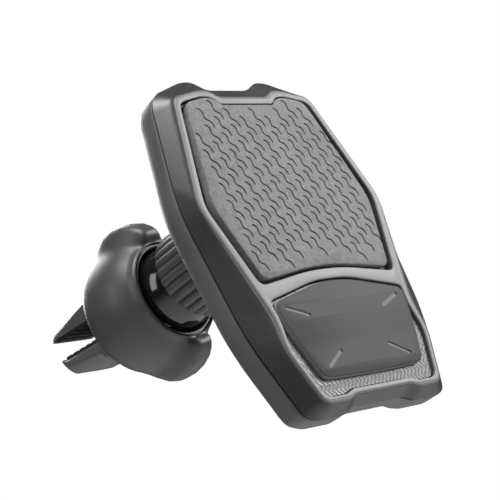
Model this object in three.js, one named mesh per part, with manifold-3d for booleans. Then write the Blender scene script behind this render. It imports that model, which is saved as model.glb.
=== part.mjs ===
// Magnetic phone mount for a car air vent, in millimetres.
// +Z is up, -Y points out of the dashboard towards the driver and +Y into the vent.
// The origin is the middle of the louvre that the two jaws grip.
import * as THREE from "three";
import * as BufferGeometryUtils from "three/addons/utils/BufferGeometryUtils.js";
import Module from "manifold-3d";

const wasm = await Module();
wasm.setup();

// ---------------------------------------------------------------- driving dimensions
const FIT = 0.35; // gap between touching moulded pieces
const RUN = 0.3; // running clearance of pins, shims and threads

// ball joint
const BALL_R = 8.5;
const BALL_TO_GRIP = 32; // ball centre to louvre centre, along Y
const BALL_TO_RIM = 45.8; // ball centre to the front rim of the head
const HEAD_DROP = 11.6; // the head's middle hangs this far below the ball
const HEAD_TILT = 5.5; // the head looks up by this much at rest, degrees

// head outline, as half widths and heights from the head's middle
const HEAD_HALF_WIDTH = 35.6; // at the parting line, where the head is widest
const HEAD_TOP = 46.2; // peak of the two top lugs at the parting line
const HEAD_BOTTOM = 43.1; // bottom lugs at the parting line
const RIM_INSET = 2.3; // front rim, inside the parting line at the widest place
const SHOULDER = 12; // height of the widest place
const WAIST = -18.5; // height of the waist
const BEZEL_DEPTH = 4; // front rim to parting line
const COVER_DEPTH = 8.4; // parting line to back face
const COVER_WALL = 1.8;
const BEZEL_WALL = 1.9;
const BEZEL_SKIN = 1.5;
const PARTING_GAP = 0.35;

// pads and what lies under them
const RIM_WIDTH = 2.1; // front rim beside the upper recess
const PAD_SIDE_GAP = 2.4; // recess floor showing beside the upper pad
const UPPER_PAD_PROUD = 0.2;
const LOWER_PAD_PROUD = 0.2;
const TRAY_DEPTH = 0.9; // carbon inlay, below the front rim
const TRAY_THICKNESS = 0.7;
const CARRIER_THICKNESS = 1.5;
const MAGNET_R = 6;
const MAGNET_HEIGHT = 2.4;
const MAGNET_PLACES = [[11, 24], [14, 6], [9.5, -22]];
const YOKE_THICKNESS = 1;
const SCREW_PLACES = [[20.5, 31], [18.5, -34]];
const SCREW_R = 1.1;
const SCREW_HEAD_R = 2.2;
const SCREW_BOSS_R = 2.9;

// socket, ring nut and the cover's neck
const COLLET_R = BALL_R + 1.8;
const COLLET_WALL = 1.7;
const LIP_R = BALL_R + 1; // outside of the socket's spherical lips
const LIP_REACH = 0.8; // how far the lips pass the ball's middle
const COLLET_SLOT = 1.2;
const SHIM = 0.5;
const SHIM_ANGLE = 30; // half angle of the two seat shims, degrees
const NUT_WALL = 1.5; // collet to the ring nut's ribs
const NUT_R = COLLET_R + NUT_WALL;
const NUT_RIB_DEPTH = 0.75;
const NUT_RIBS = 28;
const NUT_REAR = 6.4; // ring nut's rear face, ahead of the ball's middle
const NUT_LENGTH = 14;
const FLANGE_R = COLLET_R + 5.2;
const FLANGE_THICKNESS = 1.6;
const FLANGE_SCREWS = 3;
const NECK_R = NUT_R + 0.6; // end of the cover's conical neck
const NECK_ROOT_R = 21;

// knob
const LIP_INNER_R = COLLET_R + 1.4; // mouth that the ball sits in
const LIP_OUTER_R = LIP_INNER_R + 2;
const LIP_FRONT = -0.4; // front of the mouth, from the ball's middle
const BOWL_R = LIP_OUTER_R + 3.3;
const BOWL_REAR_R = BOWL_R - 2.6;
const BOWL_LENGTH = BALL_R + 8.7;
const BOWL_WALL = 1.9;
const LOBES = 2;
const LOBE_CLOCK = 99; // first wing, degrees from +X towards +Z
const LOBE_CREST = BOWL_R + 4.2; // axis to a wing's crest
const LOBE_FRONT = -1.6; // front of a wing, from the ball's middle
const LOBE_SPREAD = 30; // half the angle that a wing covers at its root, degrees
const WEB_FRONT = BALL_R + 0.1;
const WEB_THICKNESS = 2.4;

// clip core, thrust ring and jaws
const SHANK_R = 4.5;
const STUD_R = 2.6;
const TONGUE = 4; // core tongue between the jaws' ears
const PIN_R = 1;
const PIN_Y = WEB_FRONT + 5.8; // jaw pins, behind the ball's middle
const PIN_Z = 3.4;
const JAW_WIDTH = 14;
const JAW_TIP = 42;
const LOWER_JAW_TIP = 40.5;
const JAW_GAP = 4.6; // between the jaw pads at rest
const JAW_PAD = 1;
const JAW_ROOT_R = 11.4;
const JAW_TIP_THICKNESS = 3.8;
const LOWER_JAW_TIP_THICKNESS = 4.4;
const JAW_CONE = 15; // half angle of the thrust ring's cone, degrees
const CONE_CLEARANCE = 0.6; // thrust ring's cone to the jaws, at rest
const RING_LENGTH = 4.6;
const SPRING_R = 1.9;
const SPRING_WIRE = 0.35;
const SPRING_TURNS = 4;

const BALL_Y = -BALL_TO_GRIP;
const RIM_Y = BALL_Y - BALL_TO_RIM;
const ROUND = 32; // sides of a full circle
const TAU = Math.PI * 2;

// ---------------------------------------------------------------- solids
function solid(geometry) {
  const bare = geometry.index ? geometry.toNonIndexed() : geometry.clone();
  bare.deleteAttribute("normal");
  bare.deleteAttribute("uv");
  const merged = BufferGeometryUtils.mergeVertices(bare, 1e-4);
  const mesh = new wasm.Mesh({
    numProp: 3,
    vertProperties: Float32Array.from(merged.attributes.position.array),
    triVerts: Uint32Array.from(merged.index.array),
  });
  return new wasm.Manifold(mesh);
}

function toGeometry(manifold) {
  const mesh = manifold.getMesh();
  const geometry = new THREE.BufferGeometry();
  geometry.setAttribute("position", new THREE.BufferAttribute(Float32Array.from(mesh.vertProperties), 3));
  geometry.setIndex(new THREE.BufferAttribute(Uint32Array.from(mesh.triVerts), 1));
  geometry.computeVertexNormals();
  return geometry;
}

// a closed ring of [radius, y] points turned about the Y axis, counted from the ball's middle
function turned(profile, sides = ROUND) {
  const points = profile.map(([r, y]) => new THREE.Vector2(r, y + BALL_Y));
  points.push(points[0].clone());
  return solid(new THREE.LatheGeometry(points, sides));
}

function tubeAlongY(outer, inner, from, to, sides = ROUND) {
  return turned([[inner, from], [outer, from], [outer, to], [inner, to]], sides);
}

function rodAlongY(r, from, to, x = 0, z = 0, sides = 24) {
  const rod = new THREE.CylinderGeometry(r, r, to - from, sides);
  rod.translate(x, (from + to) / 2, z);
  return solid(rod);
}

function rodAlongX(r, from, to, y, z, sides = 14) {
  const rod = new THREE.CylinderGeometry(r, r, to - from, sides);
  rod.rotateZ(-Math.PI / 2);
  rod.translate((from + to) / 2, y, z);
  return solid(rod);
}

function block(x0, x1, y0, y1, z0, z1) {
  const box = new THREE.BoxGeometry(x1 - x0, y1 - y0, z1 - z0);
  box.translate((x0 + x1) / 2, (y0 + y1) / 2, (z0 + z1) / 2);
  return solid(box);
}

// ---------------------------------------------------------------- head outlines
// A half outline lists [x, height, corner radius] from the top middle down the right side.
// A point on x = 0 is not mirrored.
function outline(half, steps = 2) {
  const left = half.filter(([x]) => x > 0).map(([x, v, r]) => [-x, v, r]).reverse();
  const corners = [...half, ...left];
  const points = [];
  corners.forEach(([x, v, r], i) => {
    const here = new THREE.Vector2(x, v);
    const before = corners[(i + corners.length - 1) % corners.length];
    const after = corners[(i + 1) % corners.length];
    const toBefore = new THREE.Vector2(before[0], before[1]).sub(here);
    const toAfter = new THREE.Vector2(after[0], after[1]).sub(here);
    const reach = Math.min(r, 0.48 * toBefore.length(), 0.48 * toAfter.length());
    const start = here.clone().addScaledVector(toBefore.normalize(), reach);
    const end = here.clone().addScaledVector(toAfter.normalize(), reach);
    points.push(...new THREE.QuadraticBezierCurve(start, here, end).getPoints(steps));
  });
  return points.reverse();
}

const SIZE_X = HEAD_HALF_WIDTH;
const upper = (share) => HEAD_TOP * share;
const lower = (share) => -HEAD_BOTTOM * share;
const PARTING = [
  [7.4, upper(0.948), 2], [11.6, upper(1), 2.4], [15.6, upper(0.996), 3], [SIZE_X * 0.79, upper(0.906), 4.5],
  [SIZE_X, SHOULDER, 7], [SIZE_X * 0.938, WAIST, 5], [SIZE_X * 0.893, WAIST - 7.5, 5],
  [SIZE_X * 0.742, lower(0.97), 3.5], [SIZE_X * 0.64, lower(1), 2], [13.2, lower(1), 2], [10, lower(0.965), 2],
];
const rimX = SIZE_X - RIM_INSET;
const RIM = [
  [8.8, upper(0.853), 1.2], [11.6, upper(0.892), 1.5], [14.8, upper(0.894), 1.5], [rimX * 0.742, upper(0.853), 2.2],
  [rimX, SHOULDER - 1.7, 3], [rimX * 0.762, WAIST - 1, 3.5], [rimX * 0.8, WAIST - 8.4, 3],
  [rimX * 0.665, lower(0.925), 2], [rimX * 0.6, lower(0.951), 1.5], [13.4, lower(0.951), 1.2],
  [10.4, lower(0.926), 1.2],
];
const inX = rimX - RIM_WIDTH;
const BAR_TOP = -8.1; // crossbar's upper edge at the middle
const BAR_HEIGHT = 2.7;
const BAR_FALL = 2.6; // how far the crossbar falls towards the sides
const UPPER_WINDOW = [
  [0, upper(0.814), 1], [9.7, upper(0.814), 0.8], [12, upper(0.856), 1.2], [15.2, upper(0.86), 1.5],
  [inX * 0.75, upper(0.822), 2], [inX, SHOULDER - 1.9, 3], [inX * 0.8, BAR_TOP - BAR_FALL, 2.4], [6, BAR_TOP, 5],
];
const LOWER_TOP = BAR_TOP - BAR_HEIGHT;
const LOWER_WINDOW = [
  [6, LOWER_TOP, 4], [inX * 0.79, LOWER_TOP - 3.9, 1.6], [inX * 0.765, WAIST - 1.2, 3], [inX * 0.808, WAIST - 8.6, 3],
  [inX * 0.682, lower(0.89), 1.5], [inX * 0.62, lower(0.914), 1.2], [13.6, lower(0.914), 1],
  [10.6, lower(0.89), 1],
];
const padX = inX - PAD_SIDE_GAP;
const UPPER_PAD = [
  [0, upper(0.806), 1], [9.5, upper(0.806), 0.8], [11.8, upper(0.847), 1.2], [15, upper(0.85), 1.5],
  [padX * 0.755, upper(0.82), 2.4], [padX, SHOULDER - 2.1, 3.5], [padX * 0.81, BAR_TOP - 1.4, 2.4],
  [5, BAR_TOP + 0.8, 6],
];
const LOWER_PAD = [
  [5, LOWER_TOP - 0.5, 5], [inX * 0.772, LOWER_TOP - 4.5, 2.2], [inX * 0.74, WAIST - 4, 4],
  [inX * 0.6, lower(0.815), 2.6], [8, lower(0.822), 8],
];

function scaled(points, by) {
  const middle = (HEAD_TOP - HEAD_BOTTOM) / 2;
  const kx = 1 - by / HEAD_HALF_WIDTH;
  const ky = 1 - by / ((HEAD_TOP + HEAD_BOTTOM) / 2);
  return points.map((p) => new THREE.Vector2(p.x * kx, middle + (p.y - middle) * ky));
}

// moves every point of an outline in along its own normal
function inset(points, by) {
  return points.map((p, i) => {
    const before = points[(i + points.length - 1) % points.length];
    const after = points[(i + 1) % points.length];
    const edge = after.clone().sub(before).normalize();
    return new THREE.Vector2(p.x - edge.y * by, p.y + edge.x * by);
  });
}

function between(a, b, share) {
  return a.map((p, i) => p.clone().lerp(b[i], share));
}

// joins outlines with equal point counts, each at a depth behind the front rim
function loft(sections) {
  const count = sections[0].points.length;
  const positions = [];
  sections.forEach(({ points, depth }) => {
    points.forEach((p) => positions.push(p.x, RIM_Y + depth, p.y - HEAD_DROP));
  });
  const index = [];
  for (let s = 0; s + 1 < sections.length; s += 1) {
    for (let i = 0; i < count; i += 1) {
      const a = s * count + i;
      const b = s * count + ((i + 1) % count);
      index.push(a, b, a + count, b, b + count, a + count);
    }
  }
  const front = THREE.ShapeUtils.triangulateShape(sections[0].points, []);
  front.forEach(([a, b, c]) => index.push(a, c, b));
  const last = (sections.length - 1) * count;
  const back = THREE.ShapeUtils.triangulateShape(sections[sections.length - 1].points, []);
  back.forEach(([a, b, c]) => index.push(last + a, last + b, last + c));
  const geometry = new THREE.BufferGeometry();
  geometry.setAttribute("position", new THREE.Float32BufferAttribute(positions, 3));
  geometry.setIndex(index);
  const made = solid(geometry);
  return made.volume() < 0 ? solid(flipped(geometry)) : made;
}

function flipped(geometry) {
  const order = geometry.index.array;
  const turnedOver = [];
  for (let i = 0; i < order.length; i += 3) {
    turnedOver.push(order[i], order[i + 2], order[i + 1]);
  }
  geometry.setIndex(turnedOver);
  return geometry;
}

function slab(points, from, to) {
  return loft([{ points, depth: from }, { points, depth: to }]);
}

// a rod through the head at [x, height], between two depths behind the front rim
function headRod(r, from, to, x, v, sides = 14) {
  return rodAlongY(r, RIM_Y + from, RIM_Y + to, x, v - HEAD_DROP, sides);
}

const mirrored = (places) => places.flatMap(([x, v]) => [[x, v], [-x, v]]);

// ---------------------------------------------------------------- assembly
const part = new THREE.Group();

// the head group tips about the ball's middle; the clip group stays level
const head = new THREE.Group();
head.rotation.x = -THREE.MathUtils.degToRad(HEAD_TILT);
head.position.set(0, BALL_Y, 0).sub(new THREE.Vector3(0, BALL_Y, 0).applyEuler(head.rotation));
const clip = new THREE.Group();
part.add(head, clip);

function add(group, name, manifold, colour, roughness, metalness = 0) {
  const material = new THREE.MeshStandardMaterial({ color: colour, roughness, metalness });
  const mesh = new THREE.Mesh(toGeometry(manifold), material);
  mesh.name = name;
  group.add(mesh);
}

const PLASTIC = 0x4c4c4e;
const RUBBER = 0x6a6a6c;
const STEEL = 0xa8aaad;

// ---------------------------------------------------------------- head: bezel, tray and pads
const partingLine = outline(PARTING);
const rimLine = outline(RIM);
const upperWindow = outline(UPPER_WINDOW);
const lowerWindow = outline(LOWER_WINDOW);
const upperPad = outline(UPPER_PAD);
const lowerPad = outline(LOWER_PAD);
const skinLine = between(rimLine, partingLine, BEZEL_SKIN / BEZEL_DEPTH);

const bezelOuter = loft([
  { points: scaled(rimLine, 0.35), depth: 0 },
  { points: rimLine, depth: 0.35 },
  { points: partingLine, depth: BEZEL_DEPTH },
]);
const bezelInner = loft([
  { points: scaled(skinLine, BEZEL_WALL), depth: BEZEL_SKIN },
  { points: scaled(partingLine, BEZEL_WALL), depth: BEZEL_DEPTH + 1 },
]);
const bezel = bezelOuter
  .subtract(bezelInner)
  .subtract(slab(upperWindow, -1, BEZEL_SKIN + 1))
  .subtract(slab(lowerWindow, -1, BEZEL_SKIN + 1));
add(head, "front_bezel", bezel, PLASTIC, 0.45);

// the carrier closes the bezel from behind; the pads are bonded to it and the cover screws bite in its posts
const carrierFront = BEZEL_SKIN + FIT;
const carrierBack = carrierFront + CARRIER_THICKNESS;
const carrierLine = scaled(skinLine, BEZEL_WALL + FIT);
const trayBack = TRAY_DEPTH + TRAY_THICKNESS;
const magnetFront = carrierBack + RUN;
const magnetBack = magnetFront + MAGNET_HEIGHT;
const yokeFront = magnetBack + RUN;
const yokeBack = yokeFront + YOKE_THICKNESS;
const coverBack = BEZEL_DEPTH + COVER_DEPTH;
const coverInside = coverBack - COVER_WALL;
const postEnd = yokeBack + 0.6;
let carrier = slab(carrierLine, carrierFront, carrierBack);
mirrored(SCREW_PLACES).forEach(([x, v]) => {
  carrier = carrier.add(headRod(SCREW_BOSS_R, carrierBack - 0.2, postEnd, x, v));
  carrier = carrier.subtract(headRod(SCREW_R + RUN, carrierBack + 0.3, postEnd + 1, x, v));
});
add(head, "pad_carrier", carrier, 0x232324, 0.6);

const trayLine = inset(lowerWindow, FIT);
const tray = slab(trayLine, TRAY_DEPTH, trayBack);
add(head, "carbon_inlay", tray, 0x3a3a3c, 0.45);

const upperPadSolid = loft([
  { points: inset(upperPad, 0.2), depth: -UPPER_PAD_PROUD },
  { points: upperPad, depth: -UPPER_PAD_PROUD + 0.2 },
  { points: upperPad, depth: carrierFront - 0.02 },
]);
add(head, "upper_grip_pad", upperPadSolid, 0x8a8a8a, 0.85);

// the lower pad has four short aiming marks let into its face
const MARKS = [
  { from: [20.6, WAIST + 1.6], to: [13.7, WAIST - 0.9] },
  { from: [15.3, WAIST - 14], to: [8.9, WAIST - 10.6] },
];
const MARK_WIDTH = 1;
const MARK_DEPTH = 0.35;
function markCutter(from, to) {
  const along = new THREE.Vector2(to[0] - from[0], to[1] - from[1]);
  const mark = new THREE.BoxGeometry(along.length(), MARK_DEPTH * 2, MARK_WIDTH);
  mark.rotateY(-along.angle());
  mark.translate((from[0] + to[0]) / 2, RIM_Y - LOWER_PAD_PROUD, (from[1] + to[1]) / 2 - HEAD_DROP);
  return solid(mark);
}
let lowerPadSolid = loft([
  { points: inset(lowerPad, 0.3), depth: -LOWER_PAD_PROUD },
  { points: lowerPad, depth: -LOWER_PAD_PROUD + 0.3 },
  { points: lowerPad, depth: TRAY_DEPTH - 0.02 },
]);
MARKS.forEach(({ from, to }) => {
  [1, -1].forEach((side) => {
    lowerPadSolid = lowerPadSolid.subtract(markCutter([from[0] * side, from[1]], [to[0] * side, to[1]]));
  });
});
add(head, "lower_grip_pad", lowerPadSolid, 0x5c5c5d, 0.55);

// ---------------------------------------------------------------- head: magnets, yoke and cover
const holderLine = scaled(carrierLine, 3.2);
let holder = slab(holderLine, magnetFront, magnetBack - 0.2);
let yoke = slab(scaled(holderLine, 1), yokeFront, yokeBack);
mirrored(SCREW_PLACES).forEach(([x, v]) => {
  const post = headRod(SCREW_BOSS_R + FIT, carrierBack, postEnd + 1, x, v);
  holder = holder.subtract(post);
  yoke = yoke.subtract(post);
});
mirrored(MAGNET_PLACES).forEach(([x, v], i) => {
  holder = holder.subtract(headRod(MAGNET_R + RUN, carrierBack, magnetBack + 1, x, v, 20));
  add(head, `magnet_${i + 1}`, headRod(MAGNET_R, magnetFront, magnetBack, x, v, 20), 0xc4c6c9, 0.25, 1);
});
add(head, "magnet_holder", holder, 0x2c2c2e, 0.6);
add(head, "yoke_plate", yoke, STEEL, 0.4, 1);

// cover: straight side wall, rounded in to a flat back, with a conical neck round the socket
const neckEnd = BALL_TO_RIM - NUT_REAR - NUT_LENGTH - FIT;
const coverOuter = loft([
  { points: scaled(partingLine, 0.25), depth: BEZEL_DEPTH + PARTING_GAP },
  { points: scaled(partingLine, -0.15), depth: BEZEL_DEPTH + PARTING_GAP + 0.8 },
  { points: scaled(partingLine, 0), depth: BEZEL_DEPTH + COVER_DEPTH * 0.5 },
  { points: scaled(partingLine, 1.3), depth: BEZEL_DEPTH + COVER_DEPTH * 0.78 },
  { points: scaled(partingLine, 3.2), depth: BEZEL_DEPTH + COVER_DEPTH * 0.93 },
  { points: scaled(partingLine, 5.6), depth: coverBack },
]);
const coverInner = loft([
  { points: scaled(partingLine, BEZEL_WALL), depth: BEZEL_DEPTH - 1 },
  { points: scaled(partingLine, BEZEL_WALL), depth: BEZEL_DEPTH + COVER_DEPTH * 0.5 },
  { points: scaled(partingLine, BEZEL_WALL + 2), depth: coverInside - 0.8 },
  { points: scaled(partingLine, BEZEL_WALL + 4.5), depth: coverInside },
]);
const neck = turned([
  [NECK_ROOT_R - COVER_WALL - 1, coverInside - BALL_TO_RIM], [NECK_ROOT_R, coverBack - BALL_TO_RIM - 0.3],
  [NECK_ROOT_R, coverBack - BALL_TO_RIM], [NECK_ROOT_R - 3.6, coverBack - BALL_TO_RIM + 2.2],
  [NECK_R + 1.9, coverBack - BALL_TO_RIM + 6.4], [NECK_R, neckEnd - BALL_TO_RIM - 0.8],
  [NECK_R - 0.5, neckEnd - BALL_TO_RIM], [COLLET_R + FIT, neckEnd - BALL_TO_RIM],
  [COLLET_R + FIT, coverInside - BALL_TO_RIM],
]);
let cover = coverOuter.subtract(coverInner).add(neck);
cover = cover.subtract(rodAlongY(COLLET_R + FIT, RIM_Y + coverInside - 2, RIM_Y + neckEnd + 1, 0, 0, ROUND));
const screwTubes = mirrored(SCREW_PLACES);
screwTubes.forEach(([x, v]) => {
  cover = cover.add(headRod(SCREW_BOSS_R, postEnd + FIT, coverInside + 0.5, x, v));
});
const SCREW_HEAD_DEPTH = 1.5;
screwTubes.forEach(([x, v], i) => {
  cover = cover.subtract(headRod(SCREW_R + RUN, postEnd, coverBack + 1, x, v));
  cover = cover.subtract(headRod(SCREW_HEAD_R + RUN, coverBack - SCREW_HEAD_DEPTH - 0.6, coverBack + 1, x, v));
  const cap = headRod(SCREW_HEAD_R, coverBack - SCREW_HEAD_DEPTH - 0.3, coverBack - 0.6, x, v, 14);
  const shaft = headRod(SCREW_R, carrierBack + 0.6, coverBack - SCREW_HEAD_DEPTH, x, v, 10);
  const hex = headRod(1.15, coverBack - 1.2, coverBack, x, v, 6);
  add(head, `cover_screw_${i + 1}`, shaft.add(cap).subtract(hex), 0x1d1d1f, 0.4, 0.8);
});

// ---------------------------------------------------------------- head: split socket and ring nut
const flangeBack = coverInside - FIT;
const flangeFront = flangeBack - FLANGE_THICKNESS;
const cavityR = BALL_R + RUN;
const reliefR = cavityR + 2 * (SHIM + RUN);
const shimEdge = THREE.MathUtils.degToRad(SHIM_ANGLE + 23);
const lipEnd = Math.acos(-LIP_REACH / cavityR);
// points on a sphere about the ball's middle; the angle is counted from the -Y axis
const onBall = (r, angle) => [r * Math.sin(angle), -r * Math.cos(angle)];
function arc(r, from, to, steps) {
  const points = [];
  for (let i = 0; i <= steps; i += 1) points.push(onBall(r, from + ((to - from) * i) / steps));
  return points;
}
const floorY = -reliefR - 1.6;
const boreR = COLLET_R - COLLET_WALL - 1.5;
const collet = turned([
  [boreR, flangeFront - BALL_TO_RIM], [FLANGE_R, flangeFront - BALL_TO_RIM], [FLANGE_R, flangeBack - BALL_TO_RIM],
  [COLLET_R, flangeBack - BALL_TO_RIM], [COLLET_R, -NUT_REAR - 0.6], ...arc(LIP_R, shimEdge + 0.12, lipEnd, 3),
  ...arc(cavityR, lipEnd, shimEdge, 3), ...arc(reliefR, shimEdge, 0.02, 4), [0.2, floorY], [boreR, floorY],
]);
let splitCollet = collet;
for (let i = 0; i < 2; i += 1) {
  const slot = new THREE.BoxGeometry(COLLET_SLOT, NUT_REAR + 7, 4 * COLLET_R);
  slot.translate(0, BALL_Y - (NUT_REAR + 7) / 2 + LIP_REACH + 2, 0);
  slot.translate(0, -BALL_Y, 0);
  slot.rotateY(Math.PI / 4 + (i * Math.PI) / 2);
  slot.translate(0, BALL_Y, 0);
  splitCollet = splitCollet.subtract(solid(slot));
}
const flangeScrewPlaces = [];
for (let i = 0; i < FLANGE_SCREWS; i += 1) {
  const angle = Math.PI / 2 + (i * TAU) / FLANGE_SCREWS;
  const reach = (COLLET_R + FLANGE_R) / 2 + 0.2;
  flangeScrewPlaces.push([reach * Math.cos(angle), reach * Math.sin(angle)]);
}
flangeScrewPlaces.forEach(([x, z], i) => {
  const hole = rodAlongY(SCREW_R * 0.8 + RUN, RIM_Y + flangeFront - 1, RIM_Y + coverInside + 1.2, x, z, 10);
  splitCollet = splitCollet.subtract(hole);
  cover = cover.subtract(hole);
  const cap = rodAlongY(SCREW_R * 1.6, RIM_Y + flangeFront - 1.2, RIM_Y + flangeFront - 0.3, x, z, 12);
  const shaft = rodAlongY(SCREW_R * 0.8, RIM_Y + flangeFront - 0.5, RIM_Y + coverInside + 0.9, x, z, 8);
  add(head, `socket_screw_${i + 1}`, cap.add(shaft), STEEL, 0.35, 1);
});
add(head, "back_cover", cover, 0x5a5a5c, 0.42);
add(head, "split_socket", splitCollet, 0x121213, 0.25);

const shimHalf = THREE.MathUtils.degToRad(SHIM_ANGLE);
function shim(inner) {
  return turned([...arc(inner + SHIM, 0.02, shimHalf, 3), ...arc(inner, shimHalf, 0.02, 3)], 24);
}
add(head, "inner_seat_shim", shim(cavityR), 0xd8d8d4, 0.6);
add(head, "outer_seat_shim", shim(cavityR + SHIM + RUN), 0x2a2a2a, 0.85);

const nutFront = -NUT_REAR - NUT_LENGTH;
const nutBody = turned([
  [COLLET_R + RUN, nutFront], [NUT_R - 0.5, nutFront], [NUT_R, nutFront + 0.5], [NUT_R, -NUT_REAR - 0.9],
  [NUT_R - 0.9, -NUT_REAR], [COLLET_R - 0.1, -NUT_REAR], [COLLET_R + RUN, -NUT_REAR - 0.9],
], 28);
let nut = nutBody;
const grooveR = 0.62;
for (let i = 0; i < NUT_RIBS; i += 1) {
  const angle = ((i + 0.5) * TAU) / NUT_RIBS;
  const reach = NUT_R - NUT_RIB_DEPTH + grooveR;
  const groove = rodAlongY(
    grooveR, BALL_Y + nutFront + 1.3, BALL_Y - NUT_REAR + 1, reach * Math.cos(angle), reach * Math.sin(angle), 5,
  );
  nut = nut.subtract(groove);
}
add(head, "ring_nut", nut, 0x414143, 0.6);

// ---------------------------------------------------------------- clip: ball stud, core and pins
const ballEnd = Math.PI - Math.asin(4.1 / BALL_R);
const shankFront = BALL_R - 0.3;
const ballStud = turned([
  ...arc(BALL_R, 0.02, ballEnd, 13), [3.7, shankFront], [3.7, WEB_FRONT - 0.3], [STUD_R, WEB_FRONT - 0.3],
  [STUD_R, PIN_Y - PIN_R - 2.1], [0.1, PIN_Y - PIN_R - 2.1],
]);
add(clip, "ball_stud", ballStud, 0x080809, 0.08);

const coreRear = PIN_Y + PIN_R + 2.2;
const SPRING_Y = coreRear + SPRING_R + 1.9;
const shankRear = PIN_Y - PIN_R - 1.2;
let core = tubeAlongY(SHANK_R, STUD_R + 0.15, WEB_FRONT, shankRear, 24);
const tongueHalf = TONGUE / 2;
const tongueHeight = PIN_Z + PIN_R + 1.4;
core = core.add(rodAlongY(SHANK_R, BALL_Y + shankRear - 0.6, BALL_Y + shankRear + 0.2, 0, 0, 24));
core = core.add(block(-tongueHalf, tongueHalf, BALL_Y + shankRear, BALL_Y + coreRear, -tongueHeight, tongueHeight));
const pinHalf = JAW_WIDTH / 2 - 1.6;
[["upper", 1], ["lower", -1]].forEach(([name, side]) => {
  core = core.subtract(rodAlongX(PIN_R + 0.15, -9, 9, BALL_Y + PIN_Y, side * PIN_Z));
  add(clip, `${name}_jaw_pin`, rodAlongX(PIN_R, -pinHalf, pinHalf, BALL_Y + PIN_Y, side * PIN_Z), STEEL, 0.3, 1);
});
add(clip, "clip_core", core, 0x2e2e30, 0.55);

// ---------------------------------------------------------------- clip: jaws
// Each jaw is a side profile, as wide as the clip, trimmed to a round outside. [y, z], from the ball's middle.
const tanCone = Math.tan(THREE.MathUtils.degToRad(JAW_CONE));
const ringFront = WEB_FRONT + WEB_THICKNESS + 0.5;
const ringRear = ringFront + RING_LENGTH;
const coneRadius = (y) => JAW_ROOT_R - 0.9 + (y - ringRear) * tanCone;
const inner = JAW_GAP / 2 + JAW_PAD + 0.02;
const jawFront = PIN_Y - PIN_R - 0.9;

function jaw(side, tip, stepped) {
  const tipOuter = inner - 0.7 + (side > 0 ? JAW_TIP_THICKNESS : LOWER_JAW_TIP_THICKNESS);
  const profile = [
    [jawFront, 1.6], [PIN_Y + 3.6, 1.6], [PIN_Y + 7, inner + 0.5], [SPRING_Y + 3.4, inner], [tip - 1.2, inner],
    [tip - 0.6, JAW_GAP / 2 + 0.1], [tip, JAW_GAP / 2 + 0.5], [tip, tipOuter - 0.9], [tip - 0.9, tipOuter],
    [JAW_ROOT_R + 7.2, JAW_ROOT_R + 1], [jawFront, JAW_ROOT_R + 1],
  ];
  const shape = new THREE.Shape(profile.map(([y, z]) => new THREE.Vector2(y + BALL_Y, z * side)));
  const side14 = new THREE.ExtrudeGeometry(shape, { depth: JAW_WIDTH, bevelEnabled: false });
  // shape x becomes Y and shape y becomes Z, so the extrusion runs along X
  side14.applyMatrix4(new THREE.Matrix4().set(0, 0, 1, -JAW_WIDTH / 2, 1, 0, 0, 0, 0, 1, 0, 0, 0, 0, 0, 1));
  const stepY = BOWL_LENGTH + 7.5;
  const rootR = JAW_ROOT_R;
  const outside = turned([
    [0, jawFront - 1], [coneRadius(jawFront - 1), jawFront - 1], [coneRadius(ringRear + 0.6), ringRear + 0.6],
    [rootR, BOWL_LENGTH + 0.9], [rootR - 0.9, stepY], [rootR - (stepped ? 1.9 : 1), stepY + 0.4],
    [tipOuter + 1.9, tip - 5], [tipOuter + 1.4, tip - 1.4], [tipOuter + 0.4, tip + 0.1], [0, tip + 0.1],
  ], 40);
  let made = solid(side14).intersect(outside);
  const slotHalf = tongueHalf + FIT;
  made = made.subtract(block(-slotHalf, slotHalf, BALL_Y, BALL_Y + coreRear + 1, -20, 20));
  made = made.subtract(rodAlongX(PIN_R + RUN, -9, 9, BALL_Y + PIN_Y, side * PIN_Z));
  made = made.subtract(block(-20, 20, BALL_Y, BALL_Y + shankRear + 0.8, -SHANK_R - 0.5, SHANK_R + 0.5));
  const pocket = new THREE.CylinderGeometry(SPRING_R + 0.7, SPRING_R + 0.7, 2 * (inner + 1.6), 24);
  pocket.rotateX(Math.PI / 2);
  pocket.translate(0, BALL_Y + SPRING_Y, 0);
  return made.subtract(solid(pocket));
}
add(clip, "upper_jaw", jaw(1, JAW_TIP, false), 0x59595b, 0.5);
add(clip, "lower_jaw", jaw(-1, LOWER_JAW_TIP, true), 0x59595b, 0.5);

// rubber faces that grip the louvre, with cross ribs
function jawPad(tip) {
  const from = 26;
  const to = tip - 1.6;
  const half = JAW_WIDTH / 2 - 0.8;
  let pad = block(-half, half, BALL_Y + from, BALL_Y + to, JAW_GAP / 2, inner - 0.02);
  const ribs = 5;
  for (let i = 1; i < ribs; i += 1) {
    const y = BALL_Y + from + ((to - from) * i) / ribs;
    pad = pad.subtract(block(-half - 1, half + 1, y - 0.4, y + 0.4, JAW_GAP / 2 - 1, JAW_GAP / 2 + 0.35));
  }
  return pad;
}
add(clip, "upper_jaw_pad", jawPad(JAW_TIP), 0x202021, 0.9);
add(clip, "lower_jaw_pad", jawPad(LOWER_JAW_TIP).mirror([0, 0, 1]), 0x202021, 0.9);

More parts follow.
